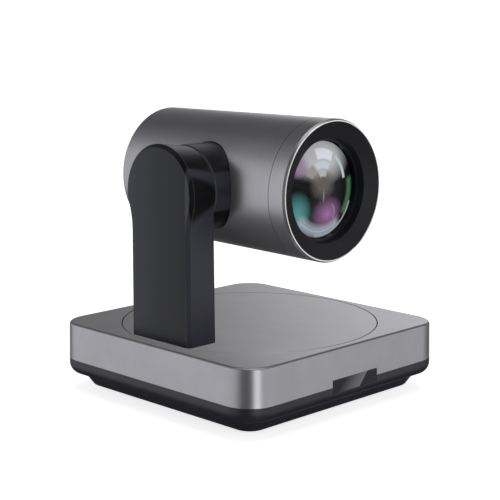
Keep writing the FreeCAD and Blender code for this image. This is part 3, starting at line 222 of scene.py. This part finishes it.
def tinted_by(tree, colour, other):
    """A colour multiplied by another: by a socket's, or by one that is the same all over."""
    node = add(tree, "ShaderNodeMix", data_type="RGBA", blend_type="MULTIPLY")
    node.inputs["Factor"].default_value = 1.0
    join(tree, colour, node.inputs["A"])
    if isinstance(other, tuple):
        node.inputs["B"].default_value = (*other, 1)
    else:
        join(tree, other, node.inputs["B"])
    return node.outputs["Result"]


def local(tree, at, scale):
    """The object's coordinates in millimetres, counted from the point at and then scaled."""
    place = add(tree, "ShaderNodeTexCoord")
    mapping = add(tree, "ShaderNodeMapping")
    mapping.inputs["Location"].default_value = [-a * k for a, k in zip(at, scale)]
    mapping.inputs["Scale"].default_value = [1000 * k for k in scale]
    join(tree, place.outputs["Object"], mapping.inputs["Vector"])
    return mapping.outputs["Vector"]


def spot(tree, at, size, core=0.2):
    """A soft round spot: one in its middle, nothing outside its half-width and half-height."""
    place = local(tree, (at[0], 0, at[1]), (1 / size[0], 0, 1 / size[1]))
    distance = add(tree, "ShaderNodeVectorMath", operation="LENGTH")
    join(tree, place, distance.inputs[0])
    return ranged(tree, distance.outputs["Value"], 1.0, 0.0, core, 1.0)


def sector(tree, centre, radii, angles, soft):
    """A piece of a ring round centre, between two radii and two angles in degrees."""
    place = local(tree, (centre[0], 0, centre[1]), (1, 0, 1))
    distance = add(tree, "ShaderNodeVectorMath", operation="LENGTH")
    join(tree, place, distance.inputs[0])
    split = add(tree, "ShaderNodeSeparateXYZ")
    join(tree, place, split.inputs[0])
    angle = add(tree, "ShaderNodeMath", operation="ARCTAN2")
    join(tree, split.outputs["Z"], angle.inputs[0])
    join(tree, split.outputs["X"], angle.inputs[1])
    across = between(tree, distance.outputs["Value"], radii[0], radii[1], soft)
    along = between(tree, angle.outputs[0], math.radians(angles[0]), math.radians(angles[1]), soft / radii[1])
    return times(tree, across, along)


def layered(tree, base, layers):
    """Lay colours over a base one after another, each through its own mask."""
    colour = (*base, 1)
    for mask, tint in layers:
        node = add(tree, "ShaderNodeMix", data_type="RGBA")
        if isinstance(colour, tuple):
            node.inputs["A"].default_value = colour
        else:
            join(tree, colour, node.inputs["A"])
        node.inputs["B"].default_value = (*tint, 1)
        join(tree, mask, node.inputs["Factor"])
        colour = node.outputs["Result"]
    return colour


# ------------------------------------------------------------------ materials
def surface(name, dark, light, rough, metal=0.0, grain=0.0, grain_scale=GRAIN_SCALE, specular=0.5, blotch=60):
    """Paint, plastic or metal: slow blotches in colour, and a fine grain in gloss and height."""
    material, tree, shader = new_material(name)
    slow = noise(tree, blotch, 3.0)
    join(tree, tinted(tree, slow, dark, light), shader.inputs["Base Color"])
    fine = noise(tree, grain_scale)
    join(tree, ranged(tree, fine, *rough), shader.inputs["Roughness"])
    shader.inputs["Metallic"].default_value = metal
    shader.inputs["Specular IOR Level"].default_value = specular
    if grain:
        bump(tree, shader, fine, grain)
    return material


def glass(name, tint, reflection_tint, strength):
    """Coated glass: mostly clear, with a tinted reflection that grows towards grazing angles."""
    material, tree, shader = new_material(name)
    tree.nodes.remove(shader)
    clear = add(tree, "ShaderNodeBsdfTransparent", Color=(*tint, 1))
    gloss = add(tree, "ShaderNodeBsdfGlossy", Color=(*reflection_tint, 1), Roughness=0.02)
    weight = add(tree, "ShaderNodeLayerWeight", Blend=0.08)
    factor = ranged(tree, weight.outputs["Fresnel"], strength, 1.0, 0.0, 1.0)
    mix = add(tree, "ShaderNodeMixShader")
    join(tree, factor, mix.inputs["Fac"])
    join(tree, clear.outputs[0], mix.inputs[1])
    join(tree, gloss.outputs[0], mix.inputs[2])
    output = next(node for node in tree.nodes if node.type == "OUTPUT_MATERIAL")
    join(tree, mix.outputs[0], output.inputs["Surface"])
    return material


def arm_paint():
    """Matt black paint with painted light and shade: paler on the arm's front face and bevel and towards its
    back edge, where the studio's light falls.
    """
    material, tree, shader = new_material("arm_paint")
    across = ranged(tree, coordinates(tree)["Y"], 0.0, 1.0, -ARM_HALF_WIDTH, ARM_HALF_WIDTH)
    shade = grey_ramp(tree, across, [((y / ARM_HALF_WIDTH + 1) / 2, level) for y, level in ARM_PAINTED_SHADES])
    join(tree, tinted_by(tree, shade, ARM_TINT), shader.inputs["Base Color"])
    fine = noise(tree, GRAIN_SCALE)
    join(tree, ranged(tree, fine, 0.34, 0.42), shader.inputs["Roughness"])
    shader.inputs["Specular IOR Level"].default_value = 0.29
    shader.inputs["Specular Tint"].default_value = (0.82, 0.84, 1.0, 1)
    bump(tree, shader, fine, 0.2)
    return material


def painted_lens_reflections():
    """The coated lens groups behind the front glass: black, with painted coloured and white reflections and
    painted highlights.

    Places and radii are in millimetres from the lens axis, angles in degrees from +X towards +Z.
    """
    material, tree, shader = new_material("lens_dome_painted_reflections")
    axis = (0, 0)
    core = (-1.5, 3.0)
    purple = (3, -13)
    layers = [
        # painted reflections: the soft white upper part, and the purple and black that cut into its left side
        (spot(tree, (-1, 19), (25, 17), 0.45), (0.55, 0.54, 0.55)),
        (spot(tree, (-18, 13.5), (8, 7)), (0.40, 0.26, 0.42)),
        (spot(tree, (-15, 0), (11, 9), 0.5), (0.0, 0.0, 0.0)),
        (spot(tree, core, (10, 9), 0.3), (0.13, 0.11, 0.10)),
        # painted teal and purple reflections of the coatings in the lower part
        (spot(tree, (-18.5, -12), (9.5, 13), 0.0), (0.11, 0.42, 0.40)),
        (spot(tree, purple, (13, 10), 0.0), (0.34, 0.16, 0.33)),
        # a painted pale reflection in a lower crescent, with fine dark rings
        (sector(tree, axis, (19.5, 25), (-140, -55), 2.2), (0.48, 0.54, 0.62)),
        (sector(tree, axis, (18.6, 19.0), (-135, -50), 0.3), (0.20, 0.20, 0.28)),
        (sector(tree, axis, (20.8, 21.1), (-140, -45), 0.3), (0.22, 0.28, 0.34)),
        (sector(tree, axis, (22.6, 22.9), (-130, -50), 0.3), (0.24, 0.30, 0.34)),
        (sector(tree, purple, (5.4, 5.8), (-30, 60), 0.4), (0.50, 0.36, 0.48)),
        # a painted green reflection on the right, and a painted bright highlight along the rim
        (sector(tree, axis, (19.5, 24), (-40, 12), 1.4), (0.07, 0.20, 0.09)),
        (sector(tree, axis, (23.4, 25.2), (-100, -20), 0.4), (0.55, 0.58, 0.60)),
        # painted reflections of the studio's lamps, one behind another, and below them a thin upright painted
        # highlight
        (sector(tree, core, (8.0, 12.5), (122, 155), 0.5), (0.36, 0.33, 0.30)),
        (sector(tree, core, (13.2, 18.5), (58, 102), 0.5), (0.85, 0.84, 0.90)),
        (sector(tree, core, (8.2, 12.0), (60, 114), 0.5), (0.62, 0.66, 0.72)),
        (sector(tree, core, (4.2, 7.6), (64, 116), 0.4), (0.50, 0.50, 0.50)),
        (sector(tree, core, (16.4, 18.6), (6, 50), 0.4), (0.60, 0.66, 0.68)),
        (spot(tree, (-1.2, -3.0), (0.6, 4), 0.3), (0.30, 0.28, 0.32)),
    ]
    join(tree, layered(tree, (0.006, 0.006, 0.008), layers), shader.inputs["Base Color"])
    shader.inputs["Specular IOR Level"].default_value = 0.0
    join(tree, ranged(tree, noise(tree, 60), 0.20, 0.26), shader.inputs["Roughness"])
    return material


def dark_window():
    """Glossy black plastic with a slanting painted glare on its left part."""
    material, tree, shader = new_material("gloss_black")
    place = coordinates(tree)
    slant = add(tree, "ShaderNodeMath", operation="MULTIPLY_ADD")
    join(tree, place["Z"], slant.inputs[0])
    slant.inputs[1].default_value = -WINDOW_LEAN
    join(tree, place["X"], slant.inputs[2])
    edge = WINDOW_GLARE_X - WINDOW_LEAN * WINDOW_MIDDLE_Z
    fade = ranged(tree, slant.outputs[0], 0.0, 1.0, edge - WINDOW_GLARE_WIDTH, edge)
    stop = ranged(tree, slant.outputs[0], 1.0, 0.0, edge, edge + WINDOW_GLARE_SOFTNESS)
    glare = times(tree, fade, stop)
    colour = tinted(tree, glare, (0.005, 0.005, 0.007), (0.12, 0.12, 0.14), 0.0, 1.0)
    join(tree, colour, shader.inputs["Base Color"])
    join(tree, ranged(tree, noise(tree, 3000), 0.08, 0.12), shader.inputs["Roughness"])
    shader.inputs["Specular IOR Level"].default_value = 0.15
    return material


def plain_surfaces():
    """The surfaces that need no pattern of their own, by slot: two colours, a gloss range, and the rest."""
    coarse = {"grain_scale": 1500}
    turned = {"metal": 1.0, "grain": 0.3, "grain_scale": 900}
    return {
        "silver_paint": ((0.30, 0.30, 0.325), (0.33, 0.33, 0.355), (0.30, 0.36),
                         {"metal": 0.85, "grain": 0.25}),
        "dark_plastic": ((0.010, 0.010, 0.015), (0.013, 0.013, 0.019), (0.36, 0.46),
                         {"grain": 0.5, "grain_scale": 2500, "specular": 0.4}),
        "black_plastic": ((0.006, 0.006, 0.008), (0.009, 0.009, 0.012), (0.40, 0.48),
                          {"grain": 0.3, "specular": 0.2}),
        "light_guide": ((0.6, 0.62, 0.65), (0.7, 0.72, 0.75), (0.2, 0.25), {}),
        "circuit_board": ((0.01, 0.09, 0.04), (0.02, 0.14, 0.06), (0.3, 0.4), {"blotch": 400}),
        "chip_plastic": ((0.01, 0.01, 0.012), (0.02, 0.02, 0.022), (0.4, 0.5), {}),
        "cable_film": ((0.35, 0.17, 0.04), (0.45, 0.23, 0.06), (0.25, 0.35), {}),
        "rubber": ((0.018, 0.018, 0.018), (0.028, 0.028, 0.028), (0.75, 0.9), {"grain": 0.6, **coarse}),
        "belt_rubber": ((0.015, 0.015, 0.015), (0.02, 0.02, 0.02), (0.7, 0.8), {"grain": 0.5, **coarse}),
        "brass": ((0.55, 0.40, 0.17), (0.68, 0.52, 0.24), (0.22, 0.34), turned),
        "steel": ((0.42, 0.42, 0.44), (0.52, 0.52, 0.54), (0.25, 0.38), turned),
        "bare_aluminium": ((0.55, 0.56, 0.58), (0.65, 0.66, 0.68), (0.3, 0.42), turned),
        "polished_metal": ((0.75, 0.75, 0.77), (0.82, 0.82, 0.84), (0.12, 0.16), {"metal": 1.0}),
    }


def make_materials():
    """Every material that a CAD node takes, by its slot."""
    materials = {}
    for slot, (dark, light, rough, rest) in plain_surfaces().items():
        materials[slot] = surface(slot, dark, light, rough, **rest)
    materials["arm_paint"] = arm_paint()
    materials["gloss_black"] = dark_window()
    materials["lens_glass"] = glass("lens_glass", (0.97, 0.98, 0.98), (0.85, 0.88, 0.95), 0.012)
    return materials


def dress_cad(materials):
    """Give every CAD node the material of its slot."""
    for part in frame["record"]["subparts"]:
        node = NODES[part["node"]]
        node.data.materials.clear()
        node.data.materials.append(materials[part["material_slot"]])


def clear_reflections():
    """Keep the dark arm out of the barrel's reflections, so that its sheen runs on to the neck."""
    for part in frame["record"]["subparts"]:
        if part["node"].startswith(("arm_", "tilt_", "head_cable")):
            NODES[part["node"]].visible_glossy = False


# ------------------------------------------------------------------ added piece
def make_lens_dome():
    """The surface that shows through the front glass, a shallow dome about the lens axis, black with painted
    reflections.
    """
    rings, segments = 20, 96
    sphere = (LENS_DOME_RADIUS ** 2 + LENS_DOME_RISE ** 2) / (2 * LENS_DOME_RISE)
    build = bmesh.new()
    top = build.verts.new((0, -LENS_DOME_RISE, 0))
    previous = None
    for ring in range(1, rings + 1):
        radius = LENS_DOME_RADIUS * ring / rings
        depth = sphere - LENS_DOME_RISE - math.sqrt(sphere ** 2 - radius ** 2)
        turns = [2 * math.pi * step / segments for step in range(segments)]
        around = [(radius * math.cos(turn), depth, radius * math.sin(turn)) for turn in turns]
        current = [build.verts.new(point) for point in around]
        for step in range(segments):
            following = (step + 1) % segments
            if previous is None:
                build.faces.new((top, current[step], current[following]))
            else:
                build.faces.new((previous[step], current[step], current[following], previous[following]))
        previous = current
    for face in build.faces:
        face.smooth = True
    mesh = bpy.data.meshes.new("lens_dome_painted_reflections")
    build.to_mesh(mesh)
    build.free()
    piece = bpy.data.objects.new("lens_dome_painted_reflections", mesh)
    piece.location = (0, LENS_DOME_RIM_Y, LENS_AXIS_Z)
    bpy.context.scene.collection.objects.link(piece)
    mesh.materials.append(painted_lens_reflections())
    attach(piece, "head")


# ------------------------------------------------------------------ studio
def area_light(name, at, aim, size, power):
    data = bpy.data.lights.new(name, "AREA")
    data.shape = "RECTANGLE"
    data.size, data.size_y = size
    data.energy = power
    light = bpy.data.objects.new(name, data)
    light.location = at
    light.rotation_euler = (Vector(aim) - Vector(at)).to_track_quat("-Z", "Y").to_euler()
    bpy.context.scene.collection.objects.link(light)


def make_floor():
    """A wide white floor. It glows a little, so that it stays white to the horizon."""
    mesh = bpy.data.meshes.new("floor")
    build = bmesh.new()
    bmesh.ops.create_grid(build, x_segments=2, y_segments=2, size=FLOOR_HALF_SIZE)
    build.to_mesh(mesh)
    build.free()
    floor = bpy.data.objects.new("floor", mesh)
    floor.visible_glossy = False
    bpy.context.scene.collection.objects.link(floor)
    material, tree, shader = new_material("floor")
    shader.inputs["Base Color"].default_value = (0.86, 0.86, 0.86, 1)
    shader.inputs["Roughness"].default_value = 0.8
    shader.inputs["Specular IOR Level"].default_value = 0.0
    shader.inputs["Emission Color"].default_value = (1, 1, 1, 1)
    shader.inputs["Emission Strength"].default_value = FLOOR_GLOW
    mesh.materials.append(material)


def make_world():
    """Studio surroundings: a bright band at table height, broken by dark cards, dimmer above and below."""
    world = bpy.data.worlds.new("studio")
    world.use_nodes = True
    bpy.context.scene.world = world
    tree = world.node_tree
    background = next(node for node in tree.nodes if node.type == "BACKGROUND")
    direction = coordinates(tree, "Generated")
    angle = add(tree, "ShaderNodeMath", operation="ARCTAN2")
    join(tree, direction["Y"], angle.inputs[0])
    join(tree, direction["X"], angle.inputs[1])
    heading = ranged(tree, angle.outputs[0], 0.0, 1.0, -math.pi, math.pi)
    height = ranged(tree, direction["Z"], 0.0, 1.0, -1.0, 1.0)
    headings = [((degrees + 180) / 360, level) for degrees, level in AROUND]
    heights = [((math.sin(math.radians(degrees)) + 1) / 2, level) for degrees, level in UPWARD]
    levels = tinted_by(tree, grey_ramp(tree, heading, headings), grey_ramp(tree, height, heights))
    join(tree, levels, background.inputs["Color"])
    background.inputs["Strength"].default_value = SURROUNDINGS


def make_lights():
    """One large weak lamp overhead. Places and sizes are in metres, its power in watts."""
    area_light("overhead", at=(0.2, -0.1, 1.5), aim=(0, 0, 0.08), size=(1.2, 1.2), power=5)


make_camera()
dress_cad(make_materials())
# the lens dome, black with painted reflections
make_lens_dome()
clear_reflections()
make_floor()
make_world()
make_lights()

bpy.context.scene.view_settings.view_transform = "Standard"
